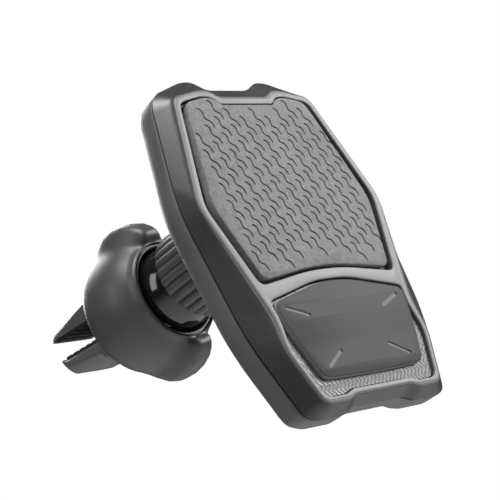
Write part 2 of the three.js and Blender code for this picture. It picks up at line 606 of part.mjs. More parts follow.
// spring that pushes the jaws apart
class Helix extends THREE.Curve {
  getPoint(t, target = new THREE.Vector3()) {
    const angle = t * TAU * SPRING_TURNS;
    const half = inner + 0.6;
    return target.set(SPRING_R * Math.cos(angle), BALL_Y + SPRING_Y + SPRING_R * Math.sin(angle), (2 * t - 1) * half);
  }
}
const wire = new THREE.Shape();
wire.absarc(0, 0, SPRING_WIRE, 0, TAU);
const springGeometry = new THREE.ExtrudeGeometry(wire, {
  steps: SPRING_TURNS * 10, curveSegments: 3, extrudePath: new Helix(),
});
add(clip, "jaw_spring", solid(springGeometry), STEEL, 0.3, 1);

// ---------------------------------------------------------------- clip: knob and thrust ring
const ringInner = (y) => coneRadius(y) + CONE_CLEARANCE;
const ringOuterR = BOWL_REAR_R - BOWL_WALL - RUN;
add(clip, "thrust_ring", turned([
  [ringInner(ringFront), ringFront], [ringOuterR, ringFront], [ringOuterR, ringRear], [ringInner(ringRear), ringRear],
]), 0xd0d0cc, 0.5);

const bowlRear = BOWL_LENGTH;
const insertR = 7;
const web = [WEB_FRONT, WEB_FRONT + WEB_THICKNESS];
const mouthR = BOWL_REAR_R - BOWL_WALL;
// The knob's section swings between the plain bowl and the section through a wing's crest as it goes round.
// Both start inside the mouth, run over the lip and down the outside, and come back along the inside.
const crestR = LOBE_CREST;
const hook = LOBE_FRONT;
const plainSection = [
  [LIP_INNER_R, 0.5], [LIP_INNER_R + 0.5, LIP_FRONT], [LIP_OUTER_R - 0.6, LIP_FRONT], [LIP_OUTER_R, LIP_FRONT + 0.6],
  [LIP_OUTER_R + 0.1, 1.4], [LIP_OUTER_R + 0.6, 2.2], [BOWL_R - 1.3, 3.6], [BOWL_R - 0.6, 5.3], [BOWL_R - 0.2, 7],
  [BOWL_R, 9.6], [BOWL_R - 0.1, 12], [BOWL_R - 0.6, 14], [BOWL_R - 1.4, 15.8], [BOWL_REAR_R, bowlRear],
];
const crestSection = [
  [LIP_INNER_R, 0.5], [LIP_INNER_R + 0.5, LIP_FRONT], [LIP_OUTER_R - 0.6, LIP_FRONT], [LIP_OUTER_R, LIP_FRONT - 0.3],
  [LIP_OUTER_R + 1.3, hook], [crestR - 4, hook + 1], [crestR - 2, hook + 3.4], [crestR - 0.6, hook + 6.6],
  [crestR, hook + 9.4], [crestR, bowlRear - 6.6], [crestR - 1, bowlRear - 4], [crestR - 3, bowlRear - 2.6],
  [BOWL_REAR_R + 1.6, bowlRear - 1.6], [BOWL_REAR_R, bowlRear],
];
const inside = [
  [mouthR, bowlRear], [mouthR, web[1]], [insertR + RUN, web[1]], [insertR + RUN, web[0]], [LIP_INNER_R, web[0]],
];
const lobeHalf = THREE.MathUtils.degToRad(LOBE_SPREAD);
function lobeShare(angle) {
  const clock = THREE.MathUtils.degToRad(LOBE_CLOCK);
  const pitch = TAU / LOBES;
  const away = Math.abs(((((angle - clock) % pitch) + 1.5 * pitch) % pitch) - pitch / 2);
  return away < lobeHalf ? Math.cos((away / lobeHalf) * (Math.PI / 2)) ** 1.6 : 0;
}
const KNOB_SIDES = 54;
const knobPositions = [];
for (let i = 0; i < KNOB_SIDES; i += 1) {
  const angle = (i * TAU) / KNOB_SIDES;
  const share = lobeShare(angle);
  const section = plainSection.map(([r, y], k) => {
    const [crest, crestY] = crestSection[k];
    return [r + (crest - r) * share, y + (crestY - y) * share];
  });
  [...section, ...inside].forEach(([r, y]) => {
    knobPositions.push(r * Math.cos(angle), BALL_Y + y, r * Math.sin(angle));
  });
}
const around = plainSection.length + inside.length;
const knobIndex = [];
for (let i = 0; i < KNOB_SIDES; i += 1) {
  for (let k = 0; k < around; k += 1) {
    const p = i * around + k;
    const q = i * around + ((k + 1) % around);
    const nextP = ((i + 1) % KNOB_SIDES) * around + k;
    const nextQ = ((i + 1) % KNOB_SIDES) * around + ((k + 1) % around);
    knobIndex.push(p, q, nextP, q, nextQ, nextP);
  }
}
const knobGeometry = new THREE.BufferGeometry();
knobGeometry.setAttribute("position", new THREE.Float32BufferAttribute(knobPositions, 3));
knobGeometry.setIndex(knobIndex);
const knobMade = solid(knobGeometry);
const knob = knobMade.volume() < 0 ? solid(flipped(knobGeometry)) : knobMade;
add(clip, "knob", knob, 0x4a4a4c, 0.4);

// blackened steel nut moulded in the knob's web; it runs on the core's thread
add(clip, "knob_insert", turned([
  [SHANK_R + RUN, web[0] + 0.2], [insertR, web[0] + 0.2], [insertR, web[1] - 0.2], [SHANK_R + RUN, web[1] - 0.2],
], 24), 0x2a2a2b, 0.4, 0.8);

export default part;
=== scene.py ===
from math import cos, degrees, pi, radians, sin, sqrt

import bmesh
import bpy
from mathutils import Matrix, Vector
from mathutils.geometry import tessellate_polygon


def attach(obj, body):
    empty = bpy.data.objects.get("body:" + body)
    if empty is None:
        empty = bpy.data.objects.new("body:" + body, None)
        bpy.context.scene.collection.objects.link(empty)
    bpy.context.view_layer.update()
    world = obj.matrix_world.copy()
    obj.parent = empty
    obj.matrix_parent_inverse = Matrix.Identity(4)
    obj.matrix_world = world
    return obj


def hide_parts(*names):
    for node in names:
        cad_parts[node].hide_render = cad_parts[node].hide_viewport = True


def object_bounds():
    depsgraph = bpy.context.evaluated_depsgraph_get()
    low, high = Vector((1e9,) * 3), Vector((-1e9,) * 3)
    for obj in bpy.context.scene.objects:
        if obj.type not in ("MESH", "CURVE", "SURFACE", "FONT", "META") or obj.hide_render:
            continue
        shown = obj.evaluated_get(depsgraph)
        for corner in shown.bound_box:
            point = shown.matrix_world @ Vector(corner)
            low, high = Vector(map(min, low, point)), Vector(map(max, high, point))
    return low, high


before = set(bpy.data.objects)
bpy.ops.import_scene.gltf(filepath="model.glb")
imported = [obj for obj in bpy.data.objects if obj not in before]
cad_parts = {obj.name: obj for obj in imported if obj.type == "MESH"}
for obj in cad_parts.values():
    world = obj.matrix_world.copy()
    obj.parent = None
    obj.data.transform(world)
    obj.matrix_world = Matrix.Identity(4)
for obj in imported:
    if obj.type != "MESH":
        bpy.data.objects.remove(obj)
cad_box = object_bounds()

# ---- Camera
# It stands below and to the left of the mount and looks up at the head, long in focal length.
MM = 0.001
camera_data = bpy.data.cameras.new("camera")
camera_data.sensor_width = 36.0
camera_data.lens = 129.6
camera_data.clip_start = 0.01
camera = bpy.data.objects.new("camera", camera_data)
bpy.context.scene.collection.objects.link(camera)
bpy.context.scene.camera = camera
camera_place = Vector((-329.0, -330.73, -101.74)) * MM
to_right = Vector((0.657, -0.66915, -0.34716)).normalized()
to_front = Vector((0.7513, 0.61905, 0.22852)).normalized()
to_up = to_right.cross(to_front).normalized()
facing = Matrix((to_right, to_up, -to_front)).transposed().to_4x4()
camera.matrix_world = Matrix.Translation(camera_place) @ facing


# ---- Studio
# A pale floor well under the mount, a white room, and soft boxes above, in front, to the left and
# behind. Shader maths is written as sums: a socket is wrapped so that the operators add the nodes.
class Socket:
    def __init__(self, finish, socket):
        self.finish, self.socket = finish, socket

    def math(self, operation, *others):
        inputs = dict(enumerate((self, *others)))
        return self.finish.node("ShaderNodeMath", {"operation": operation}, inputs)

    def __add__(self, other): return self.math("ADD", other)
    def __radd__(self, other): return self.math("ADD", other)
    def __sub__(self, other): return self.math("SUBTRACT", other)
    def __rsub__(self, other): return (self * -1.0) + other
    def __mul__(self, other): return self.math("MULTIPLY", other)
    def __rmul__(self, other): return self.math("MULTIPLY", other)
    def __truediv__(self, other): return self.math("DIVIDE", other)

    def between(self, low, high):
        return self.finish.node("ShaderNodeMapRange", {"interpolation_type": "SMOOTHSTEP"},
                                {"Value": self, "From Min": low, "From Max": high})


class Finish:
    """A material or a world, built node by node."""

    def __init__(self, name, world=None):
        self.data = world or bpy.data.materials.new(name)
        self.data.use_nodes = True
        self.tree = self.data.node_tree
        self.tree.nodes.clear()

    def node(self, kind, settings=None, values=None, out=0):
        made = self.tree.nodes.new(kind)
        for key, value in (settings or {}).items():
            setattr(made, key, value)
        for key, value in (values or {}).items():
            target = made.inputs[key]
            if isinstance(value, Socket):
                self.tree.links.new(value.socket, target)
            elif isinstance(value, tuple) and len(value) == 3 and target.type == "RGBA":
                target.default_value = (*value, 1.0)
            else:
                target.default_value = value
        return Socket(self, made.outputs[out])

    def place(self, scale=1.0):
        where = self.node("ShaderNodeTexCoord", out=3)
        return self.node("ShaderNodeMapping", {}, {"Vector": where, "Scale": (scale, scale, scale)})

    def axes(self):
        """The point's X, Y and Z in millimetres."""
        split = self.node("ShaderNodeSeparateXYZ", {}, {"Vector": self.place(1.0 / MM)})
        return [Socket(self, out) for out in split.socket.node.outputs]

    def noise(self, scale, detail=3.0, roughness=0.5):
        return self.node("ShaderNodeTexNoise", {}, {"Vector": self.place(), "Scale": scale,
                                                    "Detail": detail, "Roughness": roughness})

    def blend(self, share, first, second):
        return self.node("ShaderNodeMix", {"data_type": "RGBA"}, {0: share, 6: first, 7: second}, out=2)

    def bump(self, height, strength, distance):
        return self.node("ShaderNodeBump", {}, {"Height": height, "Strength": strength, "Distance": distance})

    def surface(self, **values):
        names = {"colour": "Base Color", "roughness": "Roughness", "metal": "Metallic", "normal": "Normal",
                 "coat": "Coat Weight", "coat_roughness": "Coat Roughness", "specular": "Specular IOR Level"}
        inputs = {names[key]: value for key, value in values.items()}
        shader = self.node("ShaderNodeBsdfPrincipled", {}, inputs)
        self.output("ShaderNodeOutputMaterial", shader)
        return self.data

    def output(self, kind, shader):
        out = self.tree.nodes.new(kind)
        self.tree.links.new(shader.socket, out.inputs["Surface"])


ROOM_SEEN = 1.0
ROOM_LIGHT = 0.06
WHITE = (1.0, 1.0, 1.0)
room = Finish("room", bpy.data.worlds.new("room"))
strength = room.node("ShaderNodeLightPath") * (ROOM_SEEN - ROOM_LIGHT) + ROOM_LIGHT
backdrop = room.node("ShaderNodeBackground", {}, {"Color": WHITE, "Strength": strength})
room.output("ShaderNodeOutputWorld", backdrop)
bpy.context.scene.world = room.data
bpy.context.scene.view_settings.view_transform = "Standard"

FLOOR_DROP = 0.45
FLOOR_HALF = 30
FLOOR_CORNERS = [(-FLOOR_HALF, -FLOOR_HALF, 0), (FLOOR_HALF, -FLOOR_HALF, 0),
                 (FLOOR_HALF, FLOOR_HALF, 0), (-FLOOR_HALF, FLOOR_HALF, 0)]
floor_mesh = bpy.data.meshes.new("floor")
floor_mesh.from_pydata(FLOOR_CORNERS, [], [(0, 1, 2, 3)])
floor = bpy.data.objects.new("floor", floor_mesh)
floor.location.z = cad_box[0][2] - FLOOR_DROP
bpy.context.scene.collection.objects.link(floor)
paint = Finish("floor_paint")
matte = paint.node("ShaderNodeBsdfDiffuse", {}, {"Color": (0.8, 0.8, 0.8)})
pale = paint.node("ShaderNodeEmission", {}, {"Color": (0.9, 0.9, 0.9), "Strength": 1.0})
lit = paint.node("ShaderNodeMixShader", {}, {0: paint.node("ShaderNodeLightPath"), 1: matte, 2: pale})
paint.output("ShaderNodeOutputMaterial", lit)
floor_mesh.materials.append(paint.data)

head_middle = Vector((0.0, -72.0, -5.0)) * MM


def soft_box(name, direction, distance, size, power):
    data = bpy.data.lights.new(name, "AREA")
    data.shape = "RECTANGLE"
    data.size, data.size_y = size
    data.energy = power
    lamp = bpy.data.objects.new(name, data)
    lamp.location = head_middle + Vector(direction).normalized() * distance
    lamp.rotation_euler = (head_middle - lamp.location).to_track_quat("-Z", "Y").to_euler()
    bpy.context.scene.collection.objects.link(lamp)


soft_box("top_box", (-0.25, -0.3, 1.0), 0.9, (0.45, 0.45), 10.0)
soft_box("front_box", (0.8, -0.55, 0.36), 0.9, (0.3, 0.4), 6.0)
soft_box("left_box", (-1.0, 0.2, 0.5), 1.0, (0.3, 0.7), 2.2)
soft_box("back_box", (0.5, 1.0, 0.7), 1.1, (0.6, 0.6), 12.0)

# ---- Front bezel
# One injection moulding in dark satin plastic: a narrow front rim, facets that flare back to the parting
# line, and the crossbar between the two recesses. The rim and the crossbar are painted light grey as a
# painted highlight. It meets the back cover at a fine groove.
# Outlines of the head are [x, height from the head's middle, corner radius], right half only.
PARTING = [(7.4, 43.8, 2), (11.6, 46.2, 2.4), (15.6, 46.0, 3), (28.1, 41.9, 4.5), (35.6, 12, 7),
           (33.4, -18.5, 5), (31.8, -26, 5), (26.4, -41.8, 3.5), (22.8, -43.1, 2), (13.2, -43.1, 2),
           (10, -41.6, 2)]
FRONT_RIM = [(8.8, 39.4, 1.2), (11.6, 41.2, 1.5), (14.8, 41.3, 1.5), (24.7, 39.4, 2.2), (33.3, 10.3, 3),
             (25.4, -19.5, 3.5), (26.6, -26.9, 3), (22.1, -39.9, 2), (20, -41, 1.5), (13.4, -41, 1.2),
             (10.4, -39.9, 1.2)]
UPPER_WINDOW = [(9.7, 37.6, 0.8), (12, 39.5, 1.2), (15.2, 39.7, 1.5), (23.4, 38, 2), (31.2, 10.1, 3),
                (25, -10.7, 2.4), (6, -8.1, 5)]
LOWER_WINDOW = [(6, -10.8, 4), (24.6, -14.7, 1.6), (23.9, -19.7, 3), (25.2, -27.1, 3), (21.3, -38.4, 1.5),
                (19.3, -39.4, 1.2), (13.6, -39.4, 1), (10.6, -38.4, 1)]
BALL = Vector((0.0, -32.0, 0.0))
RIM = -77.8
HEAD_DROP = 11.6
HEAD_MIDDLE = 1.55
HALF_WIDTH, HALF_HEIGHT = 35.6, 44.65
TILT = radians(5.5)
FACET_DEPTH = 3.75
BEZEL_DEPTH = 4.0
RECESS_DEPTH = 1.9
RIM_EDGE = 0.45
# The last of these colours is a painted highlight, laid on the front rim and the crossbar.
DARK_SATIN, LIGHT_SATIN, PAINTED_RIM_HIGHLIGHT = (0.03, 0.03, 0.032), (0.055, 0.055, 0.058), (0.23, 0.23, 0.232)
head_tip = Matrix.Translation(BALL * MM) @ Matrix.Rotation(-TILT, 4, "X") @ Matrix.Translation(-BALL * MM)


def rounded(half, steps=6):
    """The whole outline, with each corner drawn as a short curve."""
    corners = half + [(-x, v, r) for x, v, r in reversed(half) if x > 0]
    points = []
    for i, (x, v, r) in enumerate(corners):
        here = Vector((x, v))
        before = Vector(corners[i - 1][:2]) - here
        after = Vector(corners[(i + 1) % len(corners)][:2]) - here
        reach = min(r, 0.48 * before.length, 0.48 * after.length)
        start, end = here + before.normalized() * reach, here + after.normalized() * reach
        for k in range(steps + 1):
            t = k / steps
            points.append(start * (1 - t) ** 2 + here * (2 * t * (1 - t)) + end * t * t)
    return points


def offset(points, by):
    """The outline moved inwards, square to its edges."""
    made = []
    for i, p in enumerate(points):
        edge = (points[(i + 1) % len(points)] - points[i - 1]).normalized()
        made.append(Vector((p.x + edge.y * by, p.y - edge.x * by)))
    return made


def shrunk(points, by):
    """The outline drawn in towards the head's middle, by this much at its widest places."""
    kx, kz = 1 - by / HALF_WIDTH, 1 - by / HALF_HEIGHT
    return [Vector((p.x * kx, HEAD_MIDDLE + (p.y - HEAD_MIDDLE) * kz)) for p in points]


def mixed(a, b, share):
    return [p.lerp(q, share) for p, q in zip(a, b)]


class Build:
    """Collects loops of points and the faces between them, in millimetres."""

    def __init__(self):
        self.bm = bmesh.new()

    def loop(self, points):
        return [self.bm.verts.new(Vector(p) * MM) for p in points]

    def level(self, points, depth):
        """A head outline at this depth behind the front rim."""
        return self.loop([(p.x, RIM + depth, p.y - HEAD_DROP) for p in points])

    def wall(self, a, b):
        for i in range(len(a)):
            j = (i + 1) % len(a)
            self.bm.faces.new((a[i], a[j], b[j], b[i]))

    def walls(self, loops):
        for a, b in zip(loops, loops[1:]):
            self.wall(a, b)

    def cap(self, *loops):
        every = [v for loop in loops for v in loop]
        for tri in tessellate_polygon([[v.co for v in loop] for loop in loops]):
            self.bm.faces.new([every[i] for i in tri])

    def turned(self, profile, sides=96, middle=BALL):
        """A profile of [radius, y from the middle] turned about the Y axis."""
        rings = []
        for r, y in profile:
            if r == 0.0:
                rings.append([self.bm.verts.new((middle + Vector((0, y, 0))) * MM)])
            else:
                rings.append(self.loop([(middle.x + r * cos(2 * pi * i / sides), middle.y + y,
                                         middle.z + r * sin(2 * pi * i / sides)) for i in range(sides)]))
        for a, b in zip(rings, rings[1:]):
            for i in range(sides):
                j = (i + 1) % sides
                face = [a[i % len(a)], a[j % len(a)], b[j % len(b)], b[i % len(b)]]
                self.bm.faces.new(list(dict.fromkeys(face)))

    def object(self, name, sharp=34.0, tipped=True):
        """The finished object; pieces of the head are tipped back about the ball."""
        if tipped:
            self.bm.transform(head_tip)
        bmesh.ops.recalc_face_normals(self.bm, faces=self.bm.faces)
        mesh = bpy.data.meshes.new(name)
        self.bm.to_mesh(mesh)
        self.bm.free()
        made = bpy.data.objects.new(name, mesh)
        bpy.context.scene.collection.objects.link(made)
        return smooth(made, sharp)


def smooth(piece, sharp):
    piece.data.polygons.foreach_set("use_smooth", [True] * len(piece.data.polygons))
    piece.data.set_sharp_from_angle(angle=radians(sharp))
    return piece


def finish_piece(piece, material, body, slot, *nodes):
    piece.data.materials.clear()
    piece.data.materials.append(material)
    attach(piece, body)
    if nodes:
        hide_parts(*nodes)


def behind_rim(finish):
    """Millimetres behind the front rim, measured along the tipped head."""
    _, y, z = finish.axes()
    return (y - BALL.y) * cos(TILT) - z * sin(TILT) + (BALL.y - RIM)


parting_line = rounded(PARTING)
rim_line = rounded(FRONT_RIM)
upper_window = rounded(UPPER_WINDOW)
lower_window = rounded(LOWER_WINDOW)
bezel = Build()
outer = [bezel.level(shrunk(parting_line, 0.5), BEZEL_DEPTH), bezel.level(parting_line, FACET_DEPTH)]
for share in (0.92, 0.66, 0.33, 0.1):
    outer.append(bezel.level(mixed(rim_line, parting_line, share), share * FACET_DEPTH))
for by, depth in ((0.0, 0.32), (0.12, 0.12), (RIM_EDGE, 0.0)):
    outer.append(bezel.level(offset(rim_line, by), depth))
bezel.walls(outer)
holes = []
for window in (upper_window, lower_window):
    loops = [bezel.level(offset(window, by), depth)
             for by, depth in ((-0.5, 0.0), (-0.15, 0.08), (0.0, 0.4), (0.05, RECESS_DEPTH))]
    bezel.walls(loops)
    holes.append(loops[0])
bezel.cap(outer[-1], *holes)

satin = Finish("bezel_plastic")
grit = satin.noise(2600.0, 4.0, 0.65)
cloud = satin.noise(45.0, 2.0)
# Painted highlight: the front rim and the crossbar are coloured light grey, and made a little rougher.
painted_highlight_at_rim = 1.0 - behind_rim(satin).between(0.12, 0.5)
tone = satin.blend((grit * 0.5 + cloud * 0.5).between(0.32, 0.68), DARK_SATIN, LIGHT_SATIN)
tone = satin.blend(painted_highlight_at_rim, tone, PAINTED_RIM_HIGHLIGHT)
satin_plastic = satin.surface(
    colour=tone, roughness=(cloud - 0.5) * 0.1 + grit * 0.08 + painted_highlight_at_rim * 0.14 + 0.3, specular=0.5,
    normal=satin.bump(grit, 0.3, 0.00012))
finish_piece(bezel.object("front_bezel_moulding", 40), satin_plastic, "head", "shell_plastic", "front_bezel")


# ---- Pad carrier
# A flat black moulding that closes the bezel from behind; the pads are bonded to its front.
def moulded(name, colour, grain, roughness):
    """Moulded plastic: a fine spark-eroded grain over a slow drift in tone and sheen."""
    made = Finish(name)
    fine = made.noise(2600.0, 4.0, 0.65)
    drift = made.noise(45.0, 2.0)
    dark = tuple(c * 0.82 for c in colour)
    light = tuple(c * 1.18 for c in colour)
    shade = made.blend((fine * 0.45 + drift * 0.55).between(0.32, 0.68), dark, light)
    return made.surface(colour=shade, roughness=(drift - 0.5) * 0.1 + (fine - 0.5) * 0.08 + roughness,
                        normal=made.bump(fine, grain, 0.00012))


def repaint(material, *nodes):
    for node in nodes:
        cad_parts[node].data.materials.clear()
        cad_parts[node].data.materials.append(material)


carrier_plastic = moulded("carrier_plastic", (0.012, 0.012, 0.013), 0.3, 0.55)
repaint(carrier_plastic, "pad_carrier")

# ---- Upper grip pad
# Grey rubber, moulded with rows of short wavy sipes that lie staggered like bricks, so that the
# face flexes and grips the phone. The edge is rounded over.
UPPER_PAD = [(9.5, 37.25, 0.8), (11.8, 39.1, 1.2), (15, 39.3, 1.5), (21.8, 37.9, 2.4), (28.8, 9.9, 3.5),
             (23.3, -9.5, 2.4), (5, -7.3, 6)]
PROUD = 0.2
SIPE = [(-0.85, -0.3), (-0.4, -0.2), (0, 0), (0.2, 0.28), (0.42, 0.45), (0.5, 0.9), (0.38, 1.5),
        (0.35, 2.05), (0.46, 2.45), (0.77, 2.75), (1.3, 2.98), (1.75, 3.2), (2.02, 3.6), (2.24, 4.27),
        (2.32, 4.75), (2.24, 5.15)]
SIPE_MIDDLE = Vector((1.0, 2.2))
SIPE_HALF = 0.27
SIPE_DEPTH = 0.5
SIPE_EDGE = 0.5
FIRST_SIPE = Vector((-17.12, 33.66))
PITCH_ACROSS, PITCH_DOWN = 9.1, 2.25
DARK_RUBBER, LIGHT_RUBBER = (0.14, 0.14, 0.14), (0.3, 0.3, 0.3)


def modify(piece, kind, **settings):
    modifier = piece.modifiers.new(kind.lower(), kind)
    for key, value in settings.items():
        setattr(modifier, key, value)
    bpy.context.view_layer.update()
    mesh = bpy.data.meshes.new_from_object(piece.evaluated_get(bpy.context.evaluated_depsgraph_get()))
    piece.modifiers.clear()
    piece.data = mesh


def cut(piece, cutter):
    modify(piece, "BOOLEAN", operation="DIFFERENCE", object=cutter, solver="EXACT")
    bpy.data.objects.remove(cutter)
    smooth(piece, 40)


def sipe(cutters, u, v):
    """A wavy blade that stands through the pad's face, with its middle at u, v."""
    path = [Vector((u + a - SIPE_MIDDLE.x, v - (b - SIPE_MIDDLE.y))) for a, b in SIPE]
    left, right = [], []
    for i, p in enumerate(path):
        along = (path[min(i + 1, len(path) - 1)] - path[max(i - 1, 0)]).normalized()
        half = SIPE_HALF * (0.55 if i in (0, len(path) - 1) else 1.0)
        left.append(p + Vector((-along.y, along.x)) * half)
        right.append(p - Vector((-along.y, along.x)) * half)
    ring = left + right[::-1]
    top = cutters.level(ring, -PROUD - 0.3)
    bottom = cutters.level(ring, -PROUD + SIPE_DEPTH)
    cutters.wall(top, bottom)
    n = len(left)
    for loop in (top, bottom):
        for i in range(n - 1):
            cutters.bm.faces.new((loop[i], loop[i + 1], loop[2 * n - 2 - i], loop[2 * n - 1 - i]))


def inside(points, p, margin):
    hit = False
    for i, a in enumerate(points):
        b = points[i - 1]
        if (a.y > p.y) != (b.y > p.y) and p.x < (b.x - a.x) * (p.y - a.y) / (b.y - a.y) + a.x:
            hit = not hit
        if (p - a).length < margin:
            return False
    return hit


upper_pad = rounded(UPPER_PAD)
pad = Build()
levels = [(0.0, 1.8), (0.0, -PROUD + 0.35), (0.08, -PROUD + 0.1), (0.3, -PROUD)]
loops = [pad.level(offset(upper_pad, by), depth) for by, depth in levels]
pad.walls(loops)
pad.cap(loops[-1])
pad.cap(list(reversed(loops[0])))
upper_piece = pad.object("upper_pad_rubber", 40)
cutters = Build()
limit = rounded(UPPER_PAD, 3)
REACH = 4 * PITCH_ACROSS
for row in range(-2, 24):
    for place in range(8):
        u = (FIRST_SIPE.x + (place - row / 2) * PITCH_ACROSS + REACH) % (2 * REACH) - REACH
        v = FIRST_SIPE.y - row * PITCH_DOWN
        ends = [Vector((u - 1.85, v + 2.5)), Vector((u + 1.24, v - 2.95)), Vector((u, v))]
        if all(inside(limit, end, SIPE_EDGE) for end in ends):
            sipe(cutters, u, v)
cut(upper_piece, cutters.object("sipe_cutters"))

rubber = Finish("tread_rubber")
speck = rubber.noise(5200.0, 2.0, 0.7)
dust = rubber.noise(900.0, 4.0, 0.6)
patch = rubber.noise(60.0, 2.0)
pillow = rubber.noise(330.0, 1.0, 0.3)
mottle = (speck * 0.5 + dust * 0.4 + patch * 0.1).between(0.36, 0.64)
tone = rubber.blend(mottle, DARK_RUBBER, LIGHT_RUBBER)
tread_rubber = rubber.surface(
    colour=tone, roughness=(dust - 0.5) * 0.25 + 0.66, specular=0.45,
    normal=rubber.bump(speck * 0.35 + dust * 0.4 + pillow * 0.5, 0.5, 0.0002))
finish_piece(upper_piece, tread_rubber, "head", "grip_rubber", "upper_grip_pad")

# ---- Carbon inlay
# A thin moulded plate in the lower recess, printed with a two-by-two carbon weave under a satin coat.
INLAY_DEPTH = 0.9
TOW = 1.0
DARK_FIBRE, LIGHT_FIBRE = (0.035, 0.035, 0.037), (0.1, 0.1, 0.102)
inlay = Build()
loops = [inlay.level(offset(lower_window, 0.3), depth) for depth in (1.6, INLAY_DEPTH)]
inlay.walls(loops)
inlay.cap(loops[-1])

weave = Finish("carbon_weave")
across, _, upward = weave.axes()
slant = (across + upward) * 0.7071 / TOW
other = (upward - across) * 0.7071 / TOW
cell = ((slant.math("FLOOR") + other.math("FLOOR")) / 4.0).math("FRACT")
over = cell.math("GREATER_THAN", 0.49)
crown_a = (slant.math("FRACT") - 0.5).math("ABSOLUTE")
crown_b = (other.math("FRACT") - 0.5).math("ABSOLUTE")
height = 0.5 - (over * crown_a + (1.0 - over) * crown_b)
fibre = weave.noise(3500.0, 3.0, 0.6)
shade = (over * 0.35 + height * 0.9 + fibre * 0.25).between(0.15, 0.85)
tone = weave.blend(shade, DARK_FIBRE, LIGHT_FIBRE)
carbon = weave.surface(
    colour=tone, roughness=0.42 - over * 0.1 + (fibre - 0.5) * 0.1,
    normal=weave.bump(height + over * 0.15, 0.8, 0.0002), coat=0.15, coat_roughness=0.3)
finish_piece(inlay.object("carbon_inlay_plate", 30), carbon, "head", "carbon_plastic", "carbon_inlay")

# ---- Lower grip pad
# Smooth dark rubber, bonded on the inlay, with four short lighter aiming marks let into its face.
LOWER_PAD = [(5, -11.3, 5), (24, -15.3, 2.2), (23, -22.5, 4), (18.7, -35.1, 2.6), (8, -35.45, 8)]
MARKS = [((20.6, -16.9), (13.7, -19.4)), ((15.3, -32.5), (8.9, -29.1))]
MARK_HALF = 0.52
MARK_END = 0.3
MARK_FLOOR = 0.05
DARK_SILK, LIGHT_SILK, MARK_GREY = (0.04, 0.04, 0.042), (0.062, 0.062, 0.064), (0.24, 0.24, 0.24)
lower_pad = rounded(LOWER_PAD, 8)
lower = Build()
levels = [(0.0, 0.88), (0.0, 0.15), (0.12, -0.08), (0.4, -0.2)]
loops = [lower.level(offset(lower_pad, by), depth) for by, depth in levels]
lower.walls(loops)
lower.cap(loops[-1])
lower.cap(list(reversed(loops[0])))
lower_piece = lower.object("lower_pad_rubber", 40)
marks = Build()
for start, end in MARKS:
    for side in (1, -1):
        a, b = Vector((start[0] * side, start[1])), Vector((end[0] * side, end[1]))
        along = (b - a).normalized()
        cross = Vector((-along.y, along.x)) * MARK_HALF
        tip = along * MARK_END
        ring = [a - cross, b - cross, b - cross * 0.5 + tip, b + cross * 0.5 + tip, b + cross, a + cross,
                a + cross * 0.5 - tip, a - cross * 0.5 - tip]
        top, bottom = marks.level(ring, -0.8), marks.level(ring, MARK_FLOOR)
        marks.wall(top, bottom)
        marks.bm.faces.new(top)
        marks.bm.faces.new(bottom)
cut(lower_piece, marks.object("mark_cutters"))

silk = Finish("smooth_rubber")
fine = silk.noise(4200.0, 3.0, 0.6)
cloud = silk.noise(40.0, 3.0)
in_mark = behind_rim(silk).between(-0.1, -0.02)
tone = silk.blend((fine * 0.4 + cloud * 0.6).between(0.35, 0.65), DARK_SILK, LIGHT_SILK)
tone = silk.blend(in_mark, tone, MARK_GREY)
smooth_rubber = silk.surface(
    colour=tone, roughness=(cloud - 0.5) * 0.12 + 0.6, specular=0.35, normal=silk.bump(fine, 0.25, 0.0001))
finish_piece(lower_piece, smooth_rubber, "head", "smooth_rubber", "lower_grip_pad")

# ---- Back cover
# The rear half of the head, moulded in grained plastic: side walls that round over into a flat back,
# a flared neck that carries the socket, and four deep round recesses for the screws.
WALL_STACK = [(1.9, 5.6), (1.9, 4.35), (0.6, 4.35), (0.25, 4.42), (0.1, 4.7), (0.02, 5.2), (0.04, 6.8),
              (0.12, 8.2), (0.5, 9.4), (1.15, 10.5), (2.1, 11.35), (3.3, 11.95), (4.6, 12.3), (6.2, 12.4)]
NECK = [(19.2, 12.3), (20.6, 12.42), (19.4, 12.65), (18.2, 13.3), (17.2, 14.3), (16.2, 15.8), (15.2, 17.6),
        (14.3, 19.4), (13.6, 21.2), (12.9, 23.4), (12.45, 24.5), (12.1, 24.95), (11.6, 25.05), (10.7, 25.05),
        (10.7, 22.0)]
SCREWS = [(20.5, 31.0), (-20.5, 31.0), (18.5, -34.0), (-18.5, -34.0)]
SCREW_RECESS = [(0.0, 10.3), (2.5, 10.3), (2.5, 11.6), (3.0, 12.6), (0.0, 12.6)]
cover = Build()
loops = [cover.level(shrunk(parting_line, by), depth) for by, depth in WALL_STACK]
cover.walls(loops)
cover.cap(loops[-1])
cover.turned([(r, y + RIM - BALL.y) for r, y in NECK])
cover_piece = cover.object("back_cover_moulding", 40)
bores = Build()
for x, v in SCREWS:
    bores.turned(SCREW_RECESS, 40, Vector((x, RIM, v - HEAD_DROP)))
cut(cover_piece, bores.object("screw_recesses"))
cover_plastic = moulded("cover_plastic", (0.1, 0.1, 0.104), 0.6, 0.45)
finish_piece(cover_piece, cover_plastic, "head", "shell_plastic", "back_cover")

# ---- Cover screws
# Steel cap screws in black oxide with a hollow in the head, turned down to the bottom of their recesses.
SCREW_CAP = [(0.0, 10.7), (1.15, 10.7), (1.2, 11.6), (1.75, 11.7), (2.1, 11.55), (2.2, 11.2), (2.2, 10.35)]
oxide = moulded("black_oxide", (0.02, 0.02, 0.022), 0.2, 0.38)
for i, (x, v) in enumerate(SCREWS):
    screw = Build()
    screw.turned(SCREW_CAP, 48, Vector((x, RIM, v - HEAD_DROP)))
    screw_piece = screw.object(f"cap_screw_{i + 1}", 30)
    finish_piece(screw_piece, oxide, "head", "black_steel", f"cover_screw_{i + 1}")


